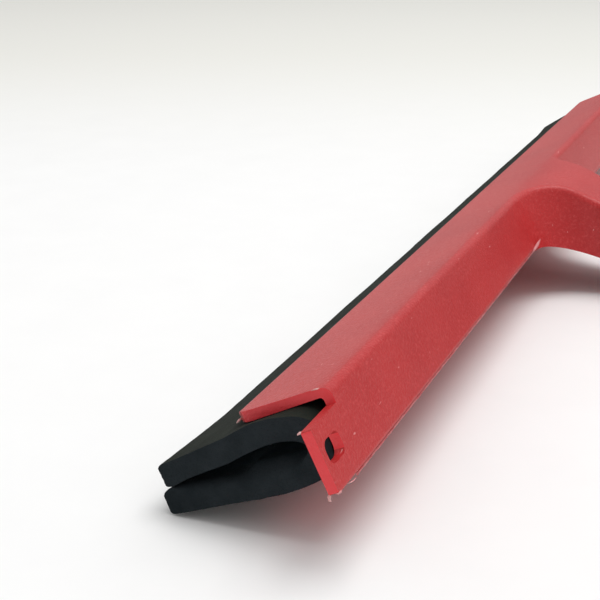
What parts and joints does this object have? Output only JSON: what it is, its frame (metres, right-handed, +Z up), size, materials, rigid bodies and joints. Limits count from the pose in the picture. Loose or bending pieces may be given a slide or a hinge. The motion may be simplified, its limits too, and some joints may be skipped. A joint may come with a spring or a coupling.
{
  "type": "squeegee applicator",
  "caption": "Hand squeegee: a moulded plastic head and handle grip a folded foam-rubber strip. The strip slides out endwise and its lips bend as they wipe.",
  "frame": {"origin": "bottom centre of the whole squeegee's box, on the table it lies on", "axes": "+X along the head, +Y from the lips towards the handle's end, +Z up"},
  "size_m": [0.2996, 0.1942, 0.0261],
  "materials": {
    "red_plastic": "satin, fine moulded grain",
    "foam_rubber": "matt closed-cell foam"
  },
  "bodies": {
    "squeegee": {"upper_jaw": "red_plastic", "lower_jaw": "red_plastic", "back_wall": "red_plastic", "handle": "red_plastic"},
    "blade": {"foam_fold": "foam_rubber"},
    "upper_lip": {"upper_foam_lip": "foam_rubber"},
    "lower_lip": {"lower_foam_lip": "foam_rubber"}
  },
  "joints": [
    {"name": "blade_slide", "type": "slide", "parent": "squeegee", "child": "blade", "axis": [1, 0, 0], "range_m": [-0.272, 0.265]},
    {"name": "lower_lip_flex", "type": "hinge", "parent": "blade", "child": "lower_lip", "pos_m": [0.0035, -0.08229, 0.00779], "axis": [1, 0, 0], "range_deg": [-20, 20], "stiffness_Nm_per_rad": 0.5},
    {"name": "upper_lip_flex", "type": "hinge", "parent": "blade", "child": "upper_lip", "pos_m": [0.0035, -0.08512, 0.01358], "axis": [1, 0, 0], "range_deg": [-20, 20], "stiffness_Nm_per_rad": 0.5}
  ],
  "couplings": [
    {"joint": "upper_lip_flex", "follows": "lower_lip_flex", "ratio": 1}
  ]
}
